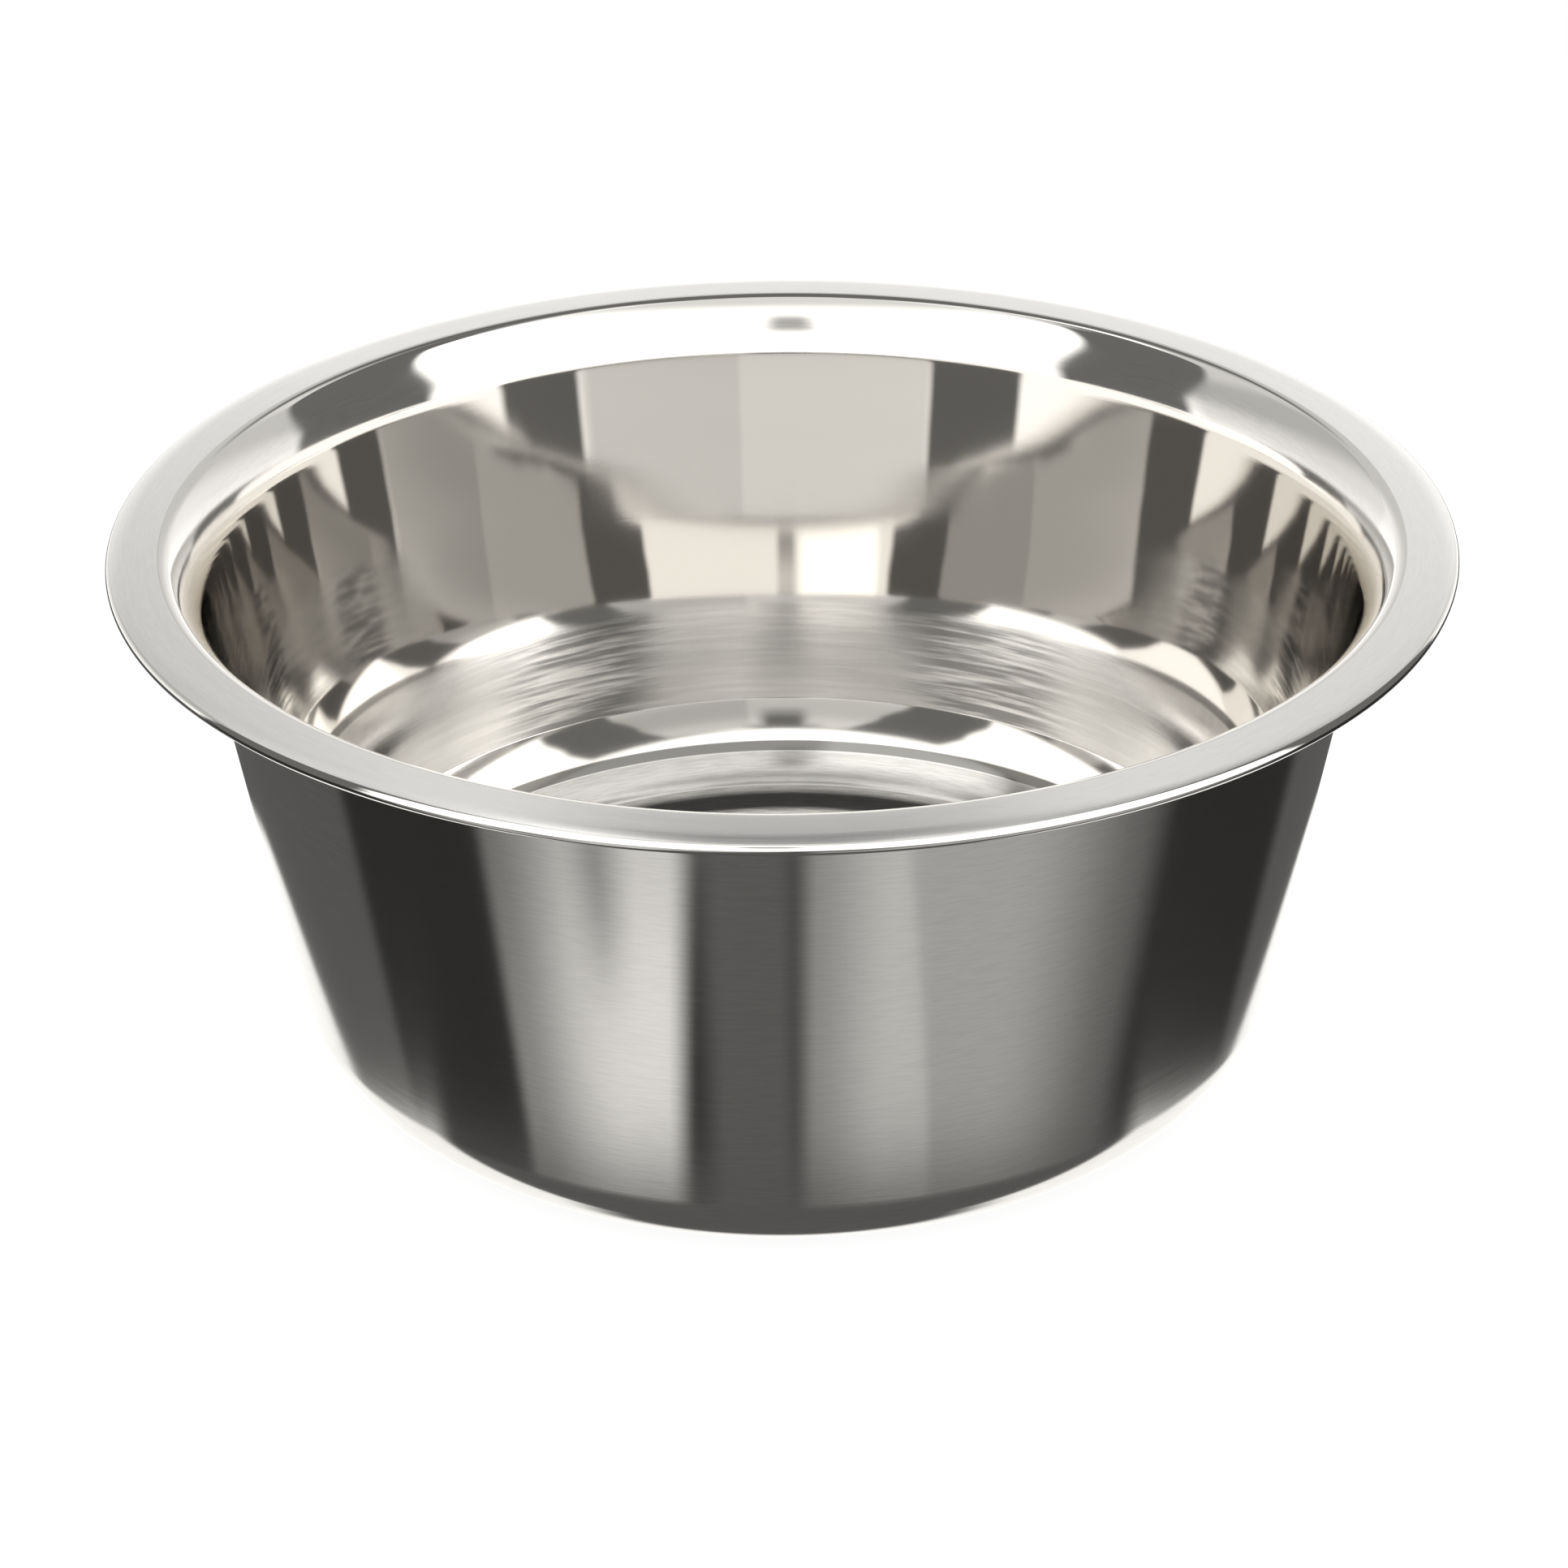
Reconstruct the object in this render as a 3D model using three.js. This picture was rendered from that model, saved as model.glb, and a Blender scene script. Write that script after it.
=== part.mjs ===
// Pet food bowl: one pressing of stainless sheet, deep-drawn from a round blank and rolled at the edge.
// Millimetres, +Z up. The origin is the middle of the plane that the bowl stands on.
import * as THREE from 'three';

// Sizes of the pressing, in millimetres, with leans in degrees
const RIM_DIAMETER = 210; // over the rolled edge
const HEIGHT = 87.5; // from the standing plane to the top of the flange
const SHEET = 0.5; // thickness of the steel
const WALL_LEAN = 9.3; // how far the wall leans out from upright
const MOUTH_RADIUS = 16; // inside surface, where the wall starts to turn out
const MOUTH_LEAN = 46; // how far the sheet leans out where the mouth passes into the bend
const BEND_RADIUS = 2.8; // inside surface, the tight bend from the mouth into the flange
const FLANGE_FLAT = 4.7; // width of the level part of the flange
const MARGIN_RADIUS = 11; // top surface, where the flange turns down towards the roll
const MARGIN_TURN = 13; // how far it turns down from level
const ROLL_BORE = 0.8; // diameter of the hollow inside the rolled edge
const ROLL_OPENING = 0.6; // gap left between the rolled-under edge and the flange
const CORNER_RADIUS = 14; // outside surface, between the base and the wall
const STANDING_RING = 6; // width of the flat ring that touches the ground
const DISH_RAMP = 5; // width of the slope inside that ring
const DISH_DEPTH = 0.8; // how far the middle of the base is pressed up

// Fineness of the facets: steps round the axis and down the dish slope, and degrees along the bends
const TURN_STEPS = 72;
const SLOPE_STEPS = 3;
const BEND_FACET = 12;
const MARGIN_FACET = 7;
const ROLL_FACET = 30;

// Directions in the section, as radius and height
const lean = THREE.MathUtils.degToRad(WALL_LEAN);
const mouthLean = THREE.MathUtils.degToRad(MOUTH_LEAN);
const turn = THREE.MathUtils.degToRad(MARGIN_TURN);
const wallNormal = new THREE.Vector2(Math.cos(lean), -Math.sin(lean));
const mouthNormal = new THREE.Vector2(Math.cos(mouthLean), -Math.sin(mouthLean));
const rollNormal = new THREE.Vector2(Math.sin(turn), Math.cos(turn));

// From the outer edge inwards: the roll, the margin that runs into it, the level flange, the tight
// bend and the mouth.
const rimRadius = RIM_DIAMETER / 2;
const rollRadius = ROLL_BORE / 2 + SHEET;
const marginToRoll = rollNormal.clone().multiplyScalar(MARGIN_RADIUS - rollRadius);
const marginCentre = new THREE.Vector2(rimRadius - rollRadius - marginToRoll.x, HEIGHT - MARGIN_RADIUS);
const rollCentre = marginCentre.clone().add(marginToRoll);
const rollStart = Math.PI / 2 - turn;
const rollEnd = -Math.PI - turn - Math.asin((ROLL_BORE / 2 - ROLL_OPENING) / rollRadius);
const bendCentre = new THREE.Vector2(marginCentre.x - FLANGE_FLAT, HEIGHT - BEND_RADIUS);
const bendToMouth = mouthNormal.clone().multiplyScalar(MOUTH_RADIUS - BEND_RADIUS);
const mouthCentre = bendCentre.clone().add(bendToMouth);

// The wall is the straight line that touches both the mouth radius and the base corner.
const wallOffset = mouthCentre.dot(wallNormal) - MOUTH_RADIUS;
const cornerInside = CORNER_RADIUS - SHEET;
const cornerCentre = new THREE.Vector2(
  (wallOffset - cornerInside + CORNER_RADIUS * Math.sin(lean)) / Math.cos(lean),
  CORNER_RADIUS,
);
const ringRadius = cornerCentre.x - STANDING_RING;
const dishRadius = ringRadius - DISH_RAMP;

// An arc with a point on each of the given angles, in facets no wider than the given degrees.
function arc(centre, radius, angles, facet) {
  const stops = angles.slice(1).flatMap((to, i) => {
    const from = angles[i];
    const steps = Math.ceil(Math.abs(to - from) / THREE.MathUtils.degToRad(facet));
    return Array.from({ length: steps }, (_, k) => from + ((to - from) * (k + 1)) / steps);
  });
  return [angles[0], ...stops].map((angle) =>
    new THREE.Vector2(radius * Math.cos(angle), radius * Math.sin(angle)).add(centre),
  );
}

// The slope from the pressed-up middle of the base down to the standing ring, as a soft S.
function dishSlope(floor) {
  return Array.from({ length: SLOPE_STEPS + 1 }, (_, i) => {
    const share = i / SLOPE_STEPS;
    const rise = (DISH_DEPTH * (1 + Math.cos(Math.PI * share))) / 2;
    return new THREE.Vector2(dishRadius + DISH_RAMP * share, floor + rise);
  });
}

// One face of the sheet, from the axis to the cut edge inside the roll.
// Depth 0 is the inside and top of the bowl, and depth SHEET its outside and underside.
function sheetFace(depth) {
  const floor = SHEET - depth;
  return [
    new THREE.Vector2(0, floor + DISH_DEPTH),
    ...dishSlope(floor),
    ...arc(cornerCentre, cornerInside + depth, [-Math.PI / 2, -lean], BEND_FACET),
    ...arc(mouthCentre, MOUTH_RADIUS - depth, [Math.PI - lean, Math.PI - mouthLean], BEND_FACET),
    ...arc(bendCentre, BEND_RADIUS - depth, [Math.PI - mouthLean, Math.PI / 2], BEND_FACET).slice(1),
    ...arc(marginCentre, MARGIN_RADIUS - depth, [Math.PI / 2, rollStart], MARGIN_FACET),
    ...arc(rollCentre, rollRadius - depth, [rollStart, 0, rollEnd], ROLL_FACET).slice(1),
  ];
}

function bowlShell() {
  const section = [...sheetFace(SHEET), ...sheetFace(0).reverse()];
  const geometry = new THREE.LatheGeometry(section, TURN_STEPS);
  const steel = new THREE.MeshStandardMaterial({ color: 0xc6c3bd, metalness: 1, roughness: 0.15 });
  const shell = new THREE.Mesh(geometry, steel);
  shell.name = 'bowl_shell';
  shell.rotation.x = Math.PI / 2;
  return shell;
}

const bowl = new THREE.Group();
bowl.add(bowlShell());

export default bowl;
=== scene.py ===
import math

import bpy
from mathutils import Matrix, Vector


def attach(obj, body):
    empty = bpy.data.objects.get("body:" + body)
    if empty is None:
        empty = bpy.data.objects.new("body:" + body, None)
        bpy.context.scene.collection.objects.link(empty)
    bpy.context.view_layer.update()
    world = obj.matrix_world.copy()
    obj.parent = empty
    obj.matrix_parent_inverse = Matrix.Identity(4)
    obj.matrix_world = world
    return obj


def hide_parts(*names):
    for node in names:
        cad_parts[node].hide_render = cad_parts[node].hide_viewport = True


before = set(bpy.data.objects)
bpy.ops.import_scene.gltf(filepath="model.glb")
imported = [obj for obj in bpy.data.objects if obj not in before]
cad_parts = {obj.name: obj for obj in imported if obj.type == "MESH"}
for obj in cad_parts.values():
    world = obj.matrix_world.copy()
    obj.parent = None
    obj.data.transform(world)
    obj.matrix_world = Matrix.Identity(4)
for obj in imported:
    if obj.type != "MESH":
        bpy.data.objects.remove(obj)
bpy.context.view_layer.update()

# The bowl: one round blank of stainless sheet, drawn deep in one press stroke, trimmed, and rolled
# under at the edge. It is polished inside and out on a spindle, so all its marks run round the axis.
# The level top of the flange is left satin. Nothing is fixed to it, and it stands on its base ring.
MM = 0.001
SHEET = 0.5 * MM
FLOOR_RADIUS = 55.38 * MM
FLOOR_HEIGHT = 1.3 * MM
DISH_DEPTH = 0.8 * MM
DISH_RAMP = 5 * MM
SLOPE_RADIUS = 8 * MM
SLOPE_TURN = 2 * math.atan(DISH_DEPTH / DISH_RAMP)
INNER_RING = 7.81 * MM
OUTER_RING = 6 * MM
HEEL_RADIUS = 7.94 * MM
HEEL_TURN = math.radians(55)
CORNER_RADIUS = 37.04 * MM
CORNER_TURN = math.radians(18)
CREASE_RADIUS = 3 * MM
OUTER_CORNER = 14 * MM
WALL_LEAN = math.radians(9.3)
LOWER_WALL = 20 * MM
MIDDLE_WALL = 6 * MM
UPPER_WALL = 18.78 * MM
EASE_RADIUS = 500 * MM
EASE_TURN = math.radians(1.1)
MOUTH_RADIUS = 16 * MM
MOUTH_LEAN = math.radians(46)
BEND_RADIUS = 2.8 * MM
FLANGE_FLAT = 4.7 * MM
MARGIN_RADIUS = 11 * MM
MARGIN_TURN = math.radians(13)
ROLL_RADIUS = 0.9 * MM
ROLL_TURN = math.radians(257)
QUARTER = math.pi / 2

# Fineness of the mesh: steps along each stretch of the section, and round the axis
FLOOR_STEPS = 8
SLOPE_STEPS = 6
RING_STEPS = 2
HEEL_STEPS = 22
CORNER_STEPS = 12
CREASE_STEPS = 6
EASE_STEPS = 4
WALL_STEPS = 2
EDGE_STEP = 0.8 * MM
MOUTH_STEPS = 26
BEND_STEPS = 14
FLANGE_STEPS = 3
MARGIN_STEPS = 6
ROLL_STEPS = 32
OUTER_WALL_STEPS = 4
OUTER_CORNER_STEPS = 26
TURN_STEPS = 256
MERGE_DISTANCE = 0.002 * MM

bpy.ops.object.select_all(action="DESELECT")
bpy.ops.mesh.primitive_plane_add(size=1 * MM, location=(0, 0, 0))
bowl = bpy.context.object
bowl.name = "bowl"
bpy.ops.object.mode_set(mode="EDIT")
bpy.ops.mesh.select_all(action="SELECT")
bpy.ops.mesh.merge(type="CENTER")
bpy.ops.transform.translate(value=(0, 0, FLOOR_HEIGHT))


class Section:
    """The pen that draws the cut through the sheet, as one line in the XZ plane."""

    def __init__(self, height):
        self.place = Vector((0, 0, height))
        self.heading = 0.0

    def line(self, length, steps=1):
        step = Vector((math.cos(self.heading), 0, math.sin(self.heading))) * (length / steps)
        for _ in range(steps):
            bpy.ops.mesh.extrude_region_move(TRANSFORM_OT_translate={"value": step})
            self.place += step

    def right_hand(self):
        return Vector((math.sin(self.heading), 0, -math.cos(self.heading)))

    def arc(self, radius, turn, steps):
        reach = radius * math.copysign(1, turn)
        centre = self.place - self.right_hand() * reach
        bpy.ops.mesh.spin(steps=steps, angle=turn, center=centre, axis=(0, 1, 0))
        self.heading += turn
        self.place = centre + self.right_hand() * reach


# The inside and top face, from the axis outwards. The wall leans a little more half way up.
pen = Section(FLOOR_HEIGHT)
pen.line(FLOOR_RADIUS, FLOOR_STEPS)
pen.arc(SLOPE_RADIUS, -SLOPE_TURN, SLOPE_STEPS)
pen.arc(SLOPE_RADIUS, SLOPE_TURN, SLOPE_STEPS)
pen.line(INNER_RING, RING_STEPS)
pen.arc(HEEL_RADIUS, HEEL_TURN, HEEL_STEPS)
pen.arc(CORNER_RADIUS, CORNER_TURN, CORNER_STEPS)
pen.arc(CREASE_RADIUS, QUARTER - WALL_LEAN - HEEL_TURN - CORNER_TURN, CREASE_STEPS)
pen.line(EDGE_STEP)
pen.line(LOWER_WALL - EDGE_STEP, WALL_STEPS)
pen.arc(EASE_RADIUS, -EASE_TURN, EASE_STEPS)
pen.line(MIDDLE_WALL)
pen.arc(EASE_RADIUS, EASE_TURN, EASE_STEPS)
pen.line(UPPER_WALL - EDGE_STEP, WALL_STEPS)
pen.line(EDGE_STEP)
pen.arc(MOUTH_RADIUS, WALL_LEAN - MOUTH_LEAN, MOUTH_STEPS)
pen.arc(BEND_RADIUS, MOUTH_LEAN - QUARTER, BEND_STEPS)
pen.line(FLANGE_FLAT, FLANGE_STEPS)
pen.arc(MARGIN_RADIUS, -MARGIN_TURN, MARGIN_STEPS)
pen.arc(ROLL_RADIUS, -ROLL_TURN, ROLL_STEPS)

# The cut edge inside the roll, and then the outside and underside, back to the axis
pen.heading -= QUARTER
pen.line(SHEET)
pen.heading -= QUARTER
pen.arc(ROLL_RADIUS - SHEET, ROLL_TURN, ROLL_STEPS)
pen.arc(MARGIN_RADIUS - SHEET, MARGIN_TURN, MARGIN_STEPS)
pen.line(FLANGE_FLAT, FLANGE_STEPS)
pen.arc(BEND_RADIUS - SHEET, QUARTER - MOUTH_LEAN, BEND_STEPS)
pen.arc(MOUTH_RADIUS - SHEET, MOUTH_LEAN - WALL_LEAN, MOUTH_STEPS)
wall_drop = pen.place.z - OUTER_CORNER * (1 - math.sin(WALL_LEAN))
pen.line(EDGE_STEP)
pen.line(wall_drop / math.cos(WALL_LEAN) - 2 * EDGE_STEP, OUTER_WALL_STEPS)
pen.line(EDGE_STEP)
pen.arc(OUTER_CORNER, WALL_LEAN - QUARTER, OUTER_CORNER_STEPS)
pen.line(OUTER_RING, RING_STEPS)
pen.arc(SLOPE_RADIUS + SHEET, -SLOPE_TURN, SLOPE_STEPS)
pen.arc(SLOPE_RADIUS - SHEET, SLOPE_TURN, SLOPE_STEPS)
pen.line(pen.place.x, FLOOR_STEPS)

bpy.ops.mesh.select_all(action="SELECT")
bpy.ops.mesh.spin(steps=TURN_STEPS, angle=2 * math.pi, center=(0, 0, 0), axis=(0, 0, 1))
bpy.ops.mesh.select_all(action="SELECT")
bpy.ops.mesh.remove_doubles(threshold=MERGE_DISTANCE)
bpy.ops.mesh.normals_make_consistent(inside=False)
bpy.ops.object.mode_set(mode="OBJECT")
bpy.ops.object.shade_smooth()


class Wire:
    """One socket of a shader's nodes. Sums on wires add Math nodes to the same tree."""

    def __init__(self, tree, socket=None):
        self.tree = tree
        self.socket = socket

    def feed(self, node, sockets):
        """Sets or links the named sockets of a node."""
        for name, value in sockets.items():
            if isinstance(value, Wire):
                self.tree.links.new(value.socket, node.inputs[name])
            else:
                node.inputs[name].default_value = value

    def node(self, kind, settings=None, sockets=None, out=0):
        """Adds any node, and gives the wire from one of its outputs."""
        made = self.tree.nodes.new(kind)
        for name, value in (settings or {}).items():
            setattr(made, name, value)
        self.feed(made, sockets or {})
        return Wire(self.tree, made.outputs[out] if made.outputs else None)

    def math(self, operation, *values):
        return self.node("ShaderNodeMath", {"operation": operation}, dict(enumerate(values)))

    def __add__(self, other):
        return self.math("ADD", self, other)

    def __sub__(self, other):
        return self.math("SUBTRACT", self, other)

    def __rsub__(self, other):
        return self.math("SUBTRACT", other, self)

    def __mul__(self, other):
        return self.math("MULTIPLY", self, other)

    __radd__ = __add__
    __rmul__ = __mul__

    def root(self):
        return self.math("SQRT", self)

    def size(self):
        return self.math("ABSOLUTE", self)

    def larger(self, other):
        return self.math("MAXIMUM", self, other)

    def degrees_to(self, other):
        """The angle whose tangent is this over the other, in degrees."""
        return self.math("ARCTAN2", self, other) * math.degrees(1)

    def step(self, low, high, start, end):
        """A soft change from start to end while this value goes from low to high."""
        sockets = {"Value": self, "From Min": low, "From Max": high, "To Min": start, "To Max": end}
        return self.node("ShaderNodeMapRange", {"interpolation_type": "SMOOTHSTEP"}, sockets)

    def above(self, edge, soft):
        """0 below the edge and 1 above it, with a soft change."""
        return self.step(edge - soft, edge + soft, 0.0, 1.0)

    def below(self, edge, soft):
        """1 below the edge and 0 above it, with a soft change."""
        return self.step(edge - soft, edge + soft, 1.0, 0.0)

    def band(self, low, high, soft):
        """1 between low and high, with soft edges, and 0 elsewhere."""
        return self.above(low, soft) * self.below(high, soft)


def object_axes(tree):
    """Wires for X, Y and Z in the object's own coordinates."""
    place = Wire(tree).node("ShaderNodeTexCoord", out="Object")
    split = place.node("ShaderNodeSeparateXYZ", sockets={0: place}).socket.node
    return [Wire(tree, socket) for socket in split.outputs]


def blend(tint, other, share):
    """One colour changed to another by a share, which is a wire."""
    sockets = {"Factor": share, 6: tint, 7: other}
    return share.node("ShaderNodeMix", {"data_type": "RGBA"}, sockets, 2)


# Tints of the finishes, and of the dark reflections painted on the inside
STEEL_TINT = (0.78, 0.765, 0.74, 1)
FLANGE_TINT = (0.95, 0.945, 0.935, 1)
BRUSHED_TINT = (0.97, 0.96, 0.94, 1)
CORNER_TINT = (0.93, 0.92, 0.9, 1)
RING_TINT = (0.42, 0.41, 0.395, 1)
# The dark line in the inside corner is a painted dark reflection
PAINTED_REFLECTION_LINE_TINT = (0.16, 0.157, 0.15, 1)
BASE_TINT = (0.055, 0.054, 0.052, 1)
# Dark streaks; at the sides of the brushed band they also carry a painted dark reflection
STREAK_AND_PAINTED_REFLECTION_TINT = (0.03, 0.03, 0.03, 1)

# Where the finishes and the painted dark reflections lie, as radii and heights
FLANGE_BOTTOM = 86.5 * MM
FLANGE_INNER = 97 * MM
FLANGE_OUTER = 104.3 * MM
MOUTH_BOTTOM = 77 * MM
INSIDE_WALL = 77.77 * MM
CORNER_CENTRE = 66.38 * MM
CORNER_TOP = 12 * MM
OUTSIDE_FOOT = 66.35 * MM
OUTSIDE_TOP = 85 * MM
CREASE_HEIGHT = 14.5 * MM
# The painted dark reflection line runs round the inside corner between these two radii
PAINTED_REFLECTION_LINE_LOW = 75.8 * MM
PAINTED_REFLECTION_LINE_HIGH = 76.8 * MM
BASE_EDGE = 70.9 * MM
MIDDLE_EDGE = 62.5 * MM
BRUSHED_TOP = 32 * MM
BRUSHED_BACK = 46 * MM
# Two strips at either side of the back, where the brush marks are drawn darker: a painted dark
# reflection
PAINTED_REFLECTION_SIDES_NEAR = 25 * MM
PAINTED_REFLECTION_SIDES_FAR = 48 * MM
SOFT = 0.1 * MM
SHEET_SOFT = 0.15 * MM

# Roughness of the mirror polish, how uneven it is, and what each finish adds to it
MIRROR_ROUGH = 0.035
UNEVEN = 0.4
MOUTH_ROUGH = 0.02
CORNER_ROUGH = 0.03
OUTSIDE_ROUGH = 0.05
BRUSHED_ROUGH = 0.1
RING_ROUGH = 0.13
FLANGE_ROUGH = 0.17
BASE_ROUGH = 0.28

# How strongly the marks, and the painted dark reflection at the sides, darken each finish, and how
# strongly the marks stand out from it
FLANGE_STREAK = 0.03
OUTSIDE_STREAK = 0.06
RING_STREAK = 0.15
BASE_STREAK = 0.4
MIDDLE_STREAK = 0.18
BRUSHED_STREAK = 0.1
# The extra darkening of the brush marks in the side strips is a painted dark reflection
PAINTED_REFLECTION_SIDES_STREAK = 0.55
MIRROR_BUMP = 0.02
OUTSIDE_BUMP = 0.02
RING_BUMP = 0.05
BRUSHED_BUMP = 0.15
BASE_BUMP = 0.3
MIDDLE_BUMP = 0.12
BUMP_DEPTH = 0.02 * MM

steel = bpy.data.materials.new("polished_steel")
steel.use_nodes = True
surface = steel.node_tree.nodes["Principled BSDF"]
x, y, z = object_axes(steel.node_tree)
radius = (x * x + y * y).root()

# How far a point lies behind the inside face tells the outside from the inside
wall_depth = radius - z * math.tan(WALL_LEAN) - INSIDE_WALL
corner_out = radius - CORNER_CENTRE
corner_up = z - OUTER_CORNER
corner_depth = (corner_out * corner_out + corner_up * corner_up).root() - OUTER_CORNER + SHEET
at_corner = z.below(CORNER_TOP, SOFT)
depth = at_corner * corner_depth + (1 - at_corner) * wall_depth
outside = depth.above(SHEET / 2, SHEET_SOFT) * radius.above(OUTSIDE_FOOT, SHEET_SOFT)
outside = outside * z.below(OUTSIDE_TOP, soft=1 * MM)
inside = 1 - outside

flange = z.above(FLANGE_BOTTOM, SOFT) * radius.band(FLANGE_INNER, FLANGE_OUTER, SOFT)
mouth = z.above(MOUTH_BOTTOM, soft=3 * MM)
corner = inside * z.below(CREASE_HEIGHT, SOFT)
# line: a thin dark ring in the inside corner, which is a painted dark reflection
line = corner * radius.band(PAINTED_REFLECTION_LINE_LOW, PAINTED_REFLECTION_LINE_HIGH, SOFT)
ring = corner * radius.below(PAINTED_REFLECTION_LINE_LOW, SOFT)
base = inside * radius.below(BASE_EDGE, SOFT)
middle = radius.below(MIDDLE_EDGE, soft=1.5 * MM)
brushed = inside * z.above(CREASE_HEIGHT, SOFT) * z.below(BRUSHED_TOP, soft=2 * MM)
brushed = brushed * y.above(BRUSHED_BACK, soft=14 * MM)
# The strips at either side where the brushed band's marks are darker: a painted dark reflection
painted_reflection_sides = x.size().band(PAINTED_REFLECTION_SIDES_NEAR, PAINTED_REFLECTION_SIDES_FAR, soft=6 * MM)


def marks(along, across, rows, detail):
    """Noise drawn out round the axis, with its fineness along and across the marks, per metre."""
    stretched = rows.node("ShaderNodeCombineXYZ", sockets={0: x * along, 1: y * along, 2: rows * across})
    return rows.node("ShaderNodeTexNoise", sockets={"Vector": stretched, "Scale": 1.0, "Detail": detail})


fine = marks(along=40, across=3000, rows=z + radius, detail=3.0)
grain = marks(along=250, across=2500, rows=z + radius, detail=4.0)
brush = marks(along=60, across=1100, rows=z, detail=4.0)

rough = flange * FLANGE_ROUGH + base * BASE_ROUGH + corner * CORNER_ROUGH + ring * RING_ROUGH
rough = rough + brushed * BRUSHED_ROUGH + outside * OUTSIDE_ROUGH + mouth * MOUTH_ROUGH + MIRROR_ROUGH
rough = rough * (fine * UNEVEN + (1 - UNEVEN / 2))

streak = base * BASE_STREAK + middle * (MIDDLE_STREAK - BASE_STREAK) + ring * RING_STREAK
streak = streak + outside * OUTSIDE_STREAK + flange * FLANGE_STREAK
# Brush marks over the whole brushed band, and much darker ones in the side strips, which are a painted
# dark reflection
brush_marks_and_painted_reflection = painted_reflection_sides * PAINTED_REFLECTION_SIDES_STREAK + BRUSHED_STREAK
tint = blend(STEEL_TINT, RING_TINT, ring)
tint = blend(tint, CORNER_TINT, corner * (1 - ring))
# Painted dark reflection: the thin dark ring in the inside corner
tint = blend(tint, PAINTED_REFLECTION_LINE_TINT, line)
tint = blend(tint, FLANGE_TINT, flange)
tint = blend(tint, BASE_TINT, base * (1 - middle))
tint = blend(tint, STEEL_TINT, middle)
tint = blend(tint, STREAK_AND_PAINTED_REFLECTION_TINT, grain.step(0.35, 0.7, 0.0, 1.0) * streak)
tint = blend(tint, BRUSHED_TINT, brushed)
# Dark brush marks, much darker in the side strips, where they are a painted dark reflection
tint = blend(tint, STREAK_AND_PAINTED_REFLECTION_TINT, brush.step(0.32, 0.62, 0.0, 1.0) * brushed * brush_marks_and_painted_reflection)

relief = base * BASE_BUMP + middle * (MIDDLE_BUMP - BASE_BUMP) + brushed * BRUSHED_BUMP
relief = relief + ring * RING_BUMP + outside * OUTSIDE_BUMP + MIRROR_BUMP
heights = {"Height": grain + brush * brushed, "Strength": relief, "Distance": BUMP_DEPTH}
bump = grain.node("ShaderNodeBump", sockets=heights)

tint.feed(surface, {"Base Color": tint, "Roughness": rough, "Normal": bump, "Metallic": 1})
tint.feed(surface, {"Anisotropic": 0.8, "Anisotropic Rotation": 0.25})
bowl.data.materials.append(steel)
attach(bowl, "root")
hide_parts("bowl_shell")

# The floor: a wide round sheet of white paper, lying just under the bowl. It glows a little below
# white, so that the tent's light on it makes it white and the bowl leaves a faint shadow.
PAPER_RADIUS = 0.55
PAPER_DROP = 0.05 * MM
PAPER_GLOW = 0.9
PAPER_TINT = (0.15, 0.15, 0.15, 1)

bpy.ops.mesh.primitive_circle_add(
    vertices=128, radius=PAPER_RADIUS, fill_type="NGON", location=(0, 0, -PAPER_DROP)
)
floor = bpy.context.object
floor.name = "floor"
paper = bpy.data.materials.new("white_floor")
paper.use_nodes = True
paper.node_tree.nodes.clear()
glow = Wire(paper.node_tree).node("ShaderNodeEmission", sockets={"Strength": PAPER_GLOW})
matt = glow.node("ShaderNodeBsdfDiffuse", sockets={"Color": PAPER_TINT})
both = glow.node("ShaderNodeAddShader", sockets={0: glow, 1: matt})
both.node("ShaderNodeOutputMaterial", sockets={"Surface": both})
floor.data.materials.append(paper)
floor.visible_glossy = False

# The light tent: a white cloth tent about the bowl, open at the sides and for the camera, with a pale
# panel at the back. Only the steel and the floor see it. Its lower half stands for the glossy table.
# Turns are degrees round from the camera, to its right, and rises are degrees up or down from level.
TENT_RADIUS = 0.6
CLOTH_TINT = (1, 0.99, 0.97)
WHITE_GLOW = 1.8
ZENITH_GLOW = 0.9
DARK_GLOW = 0.17

VIEWER_TURN = (-8, 3)
VIEWER_RISE = (41, 61)
VIEWER_SHADE = 0.8
LAMP_TURN = (-62, -12)
LAMP_RISE = (30, 52)
LAMP_GLOW = 0.9
OPENING_KNEE = 20
OPENING_TOP = 70
LEFT_OPENING = (-96, -62.5)
LEFT_SWEEP = (0.026, 0.018)
RIGHT_OPENING = (80, 118)
RIGHT_SWEEP = (0.021, 0.03)
ARCH_TOP = 75
WIDE_ARCH_TURN = 162
WIDE_ARCH_FOOT = 51
NARROW_ARCH_TURN = 169.5
NARROW_ARCH_FOOT = 42.5
PANEL_TURN = (-97, 118.5)
PANEL_TOP = 60
PANEL_GLOW = 1.08
STRIP_TURN = (-163, -100)
STRIP_SHADE = 0.14

TABLE_GLOW = 0.11
SIDE_TURN = (-99, 124.5)
SIDE_SHADE = 0.08
GAP_TURN = (-17, 2)
GAP_GLOW = 0.095
FOOT_RISE = 45.6
FOOT_CURVE = 0.00055
FOOT_DROP = 7
SHEEN_TURN = 92
SHEEN_END = 69
SHEEN_GLOW = 1.15

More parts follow.
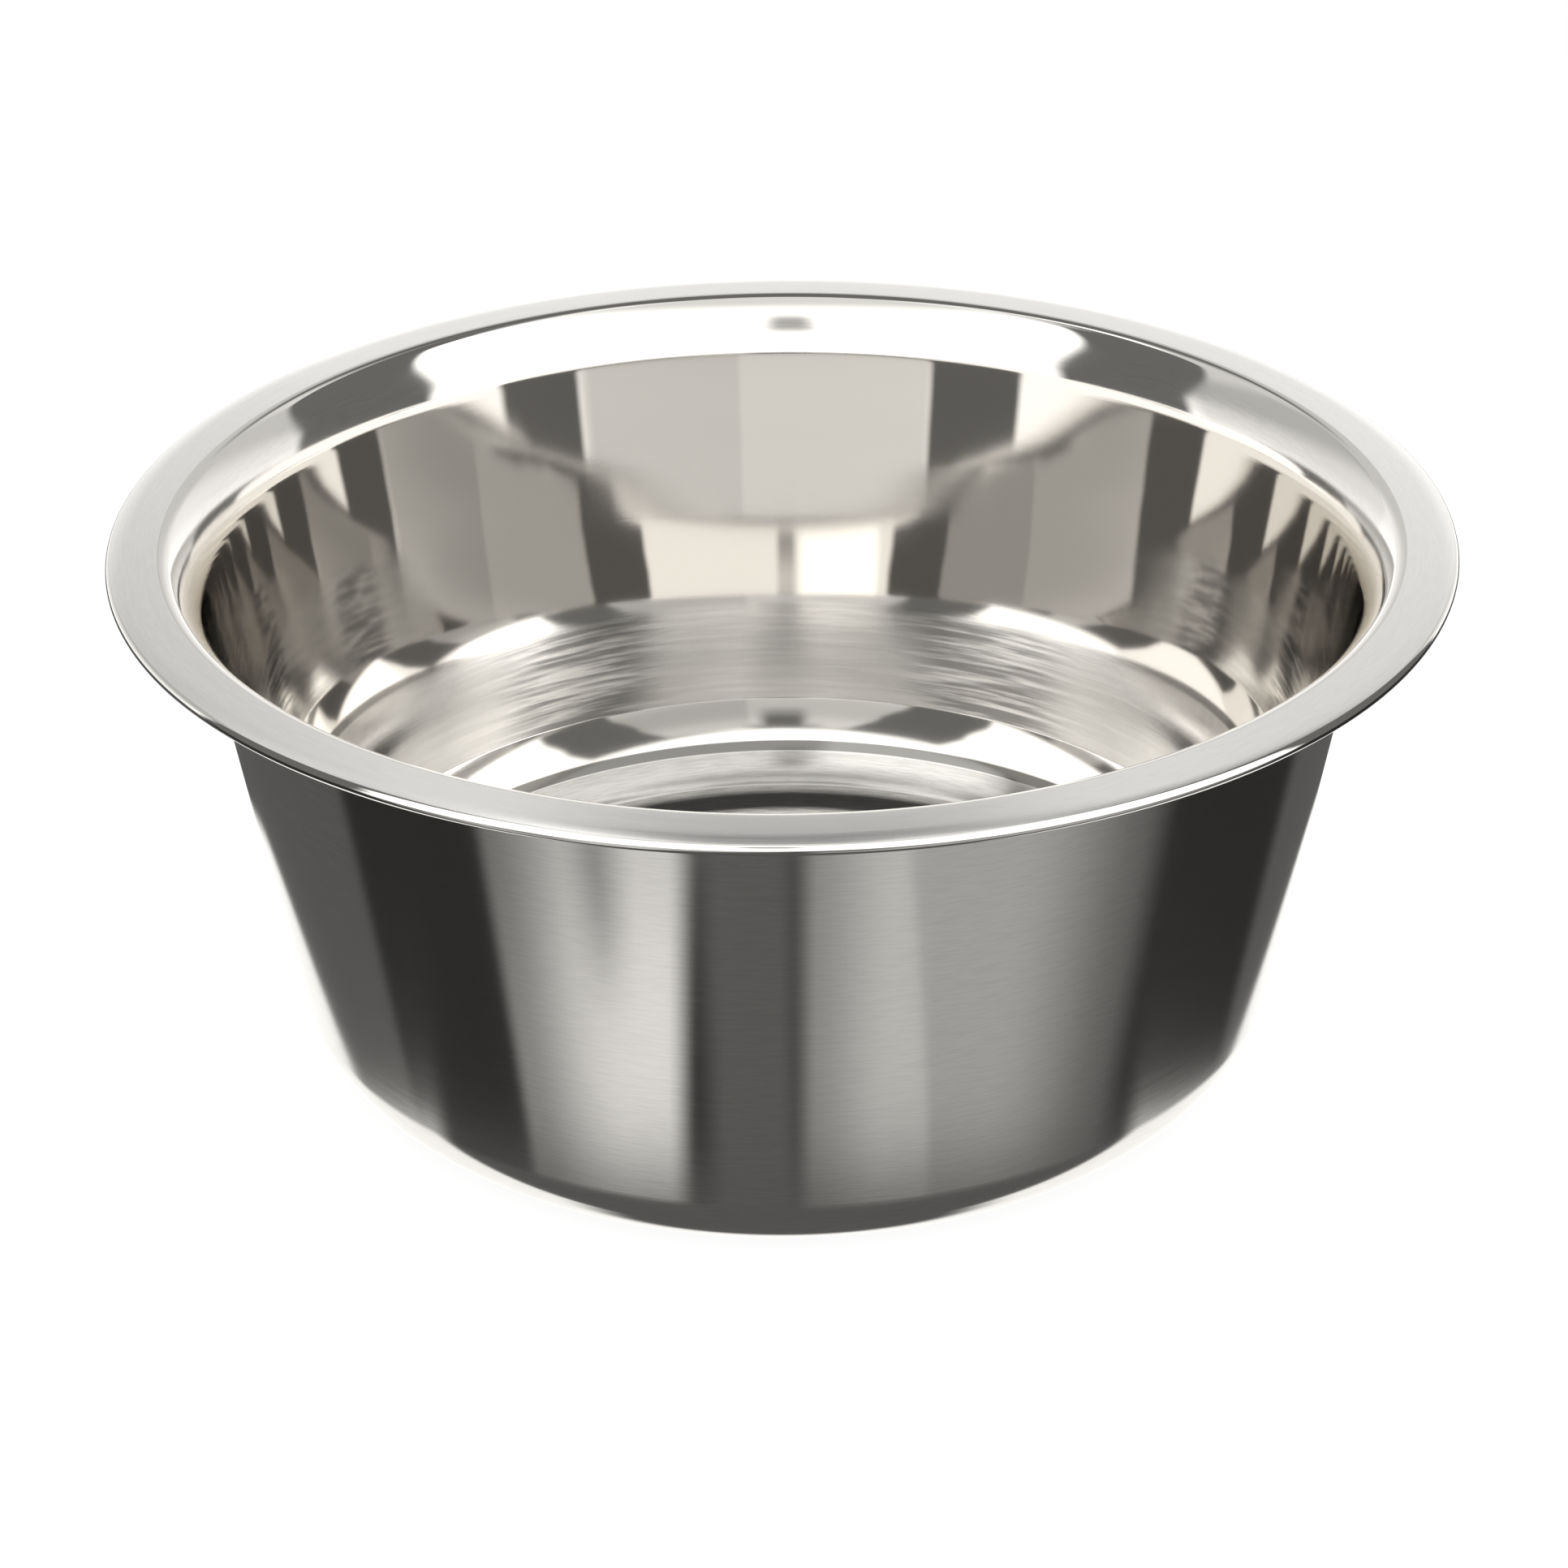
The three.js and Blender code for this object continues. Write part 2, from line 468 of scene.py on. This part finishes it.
bpy.ops.mesh.primitive_uv_sphere_add(segments=96, ring_count=48, radius=TENT_RADIUS, location=(0, 0, 0))
tent = bpy.context.object
tent.name = "light_tent"
cloth = bpy.data.materials.new("tent_cloth")
cloth.use_nodes = True
cloth.node_tree.nodes.clear()
x, y, z = object_axes(cloth.node_tree)
turn = x.degrees_to(y * -1)
rise = z.degrees_to((x * x + y * y).root())
steep = rise.size()
beside = turn.size()

# The upper half: white cloth, a paler roof, the back panel, and what is dark in it
sweep = (steep - OPENING_KNEE).larger(0)
sweep = sweep * sweep
left_open = (turn + sweep * LEFT_SWEEP[0]).above(LEFT_OPENING[0], soft=2)
left_open = left_open * (turn + sweep * LEFT_SWEEP[1]).below(LEFT_OPENING[1], soft=2.5)
right_open = (turn - sweep * RIGHT_SWEEP[0]).above(RIGHT_OPENING[0], soft=2)
right_open = right_open * (turn - sweep * RIGHT_SWEEP[1]).below(RIGHT_OPENING[1], soft=2)
sides_open = left_open.larger(right_open) * steep.below(OPENING_TOP, soft=6)
viewer = turn.band(*VIEWER_TURN, soft=3) * steep.band(*VIEWER_RISE, soft=5) * VIEWER_SHADE
wide_arch = beside.above(WIDE_ARCH_TURN, soft=6) * steep.band(WIDE_ARCH_FOOT, ARCH_TOP, soft=4)
narrow_arch = beside.above(NARROW_ARCH_TURN, soft=4.5) * steep.band(NARROW_ARCH_FOOT, ARCH_TOP, soft=4)
dark = viewer.larger(sides_open).larger(wide_arch).larger(narrow_arch)

panel = steep.step(8, 20, 0.32, 0.0) - steep.step(20, 35, 0.0, 0.38) + steep.step(42, 50, 0.0, 0.22)
panel = panel + PANEL_GLOW - turn.band(*STRIP_TURN, soft=1.5) * STRIP_SHADE
behind = (1 - turn.band(*PANEL_TURN, soft=2)) * steep.below(PANEL_TOP, soft=2)
lamp = turn.band(*LAMP_TURN, soft=4) * steep.band(*LAMP_RISE, soft=4) * LAMP_GLOW
roof = steep.step(66, 80, WHITE_GLOW, ZENITH_GLOW) + lamp
upper = panel * behind + roof * (1 - behind)
upper = upper * (1 - dark) + dark * DARK_GLOW

# The lower half: the dark table, two pale panels that end at a curved foot, and white sheen past it
foot = FOOT_RISE - beside * beside * FOOT_CURVE - (beside - turn * 0.03).above(138, soft=15) * FOOT_DROP
past_foot = steep - foot
left_panel = turn.above(-63, soft=2) * (turn + steep * 0.6).below(2, soft=3.5)
left_glow = turn.step(-62, -36, 0.3, 0.95) * steep.step(34, 41, 0.7, 1.0)
left_glow = left_glow * (1 - turn.band(-42, -34, soft=5) * steep.step(37, 41, 0.6, 0.0))
right_panel = turn.above(4, soft=3) * turn.below(81, soft=5)
right_glow = turn.step(4, 24, 0.32, 0.62) - (turn - steep * 1.1).step(-16.5, -13.5, 0.0, 0.17)
right_glow = right_glow - turn.step(46, 80, 0.0, 0.31)
side = turn.above(SIDE_TURN[0], soft=2) * turn.below(SIDE_TURN[1], soft=3.5)
table = TABLE_GLOW - side * SIDE_SHADE + turn.band(*GAP_TURN, soft=4) * GAP_GLOW
table = table + left_panel * (left_glow - table) + right_panel * (right_glow - table)
before_foot = past_foot.below(0, soft=1.5)
table = table * before_foot + (1 - before_foot) * TABLE_GLOW
sheen = beside.above(SHEEN_TURN, soft=4) * past_foot.above(0, soft=0.7) * steep.below(SHEEN_END, soft=5)
lower = table * (1 - sheen) + sheen * SHEEN_GLOW

strength = upper * rise.above(0, soft=0.5) + lower * rise.below(0, soft=0.5)
shade = strength.node("ShaderNodeVectorMath", {"operation": "SCALE"}, {0: CLOTH_TINT, "Scale": strength})
glow = shade.node("ShaderNodeEmission", sockets={"Color": shade})
glow.node("ShaderNodeOutputMaterial", sockets={"Surface": glow})
tent.data.materials.append(cloth)
cloth.cycles.emission_sampling = "NONE"
tent.visible_camera = False
tent.visible_shadow = False

# The room beyond the floor's edge: plain white, with nothing in it.
# Only the camera and glossy rays see it, so it lights nothing.
world = bpy.data.worlds.new("white_room")
bpy.context.scene.world = world
world.use_nodes = True
air = world.node_tree.nodes["Background"]
by_camera = Wire(world.node_tree).node("ShaderNodeLightPath", out="Is Camera Ray")
by_gloss = by_camera.node("ShaderNodeLightPath", out="Is Glossy Ray")
by_camera.feed(air, {"Color": (1, 1, 1, 1), "Strength": by_camera + by_gloss})

# The camera: at the front, looking down into the bowl, from where the photograph was taken.
# The steel mirrors itself many times inside the bowl, so light may bounce often.
CAMERA_DISTANCE = 0.6108
CAMERA_RISE = math.radians(28.494)
CAMERA_ROLL = math.radians(-0.456)
CAMERA_LENS = 86.087
SENSOR_WIDTH = 36
AIM = Vector((0, 0, 39.684 * MM))
BOUNCES = 12

bpy.ops.object.camera_add()
camera = bpy.context.object
camera.data.lens = CAMERA_LENS
camera.data.sensor_width = SENSOR_WIDTH
eye = AIM + Vector((0, -math.cos(CAMERA_RISE), math.sin(CAMERA_RISE))) * CAMERA_DISTANCE
tilt = Matrix.Rotation(math.pi / 2 - CAMERA_RISE, 4, "X") @ Matrix.Rotation(CAMERA_ROLL, 4, "Z")
camera.matrix_world = Matrix.Translation(eye) @ tilt
bpy.context.scene.camera = camera
bpy.context.scene.view_settings.view_transform = "Standard"
bpy.context.scene.cycles.max_bounces = BOUNCES
bpy.context.scene.cycles.glossy_bounces = BOUNCES
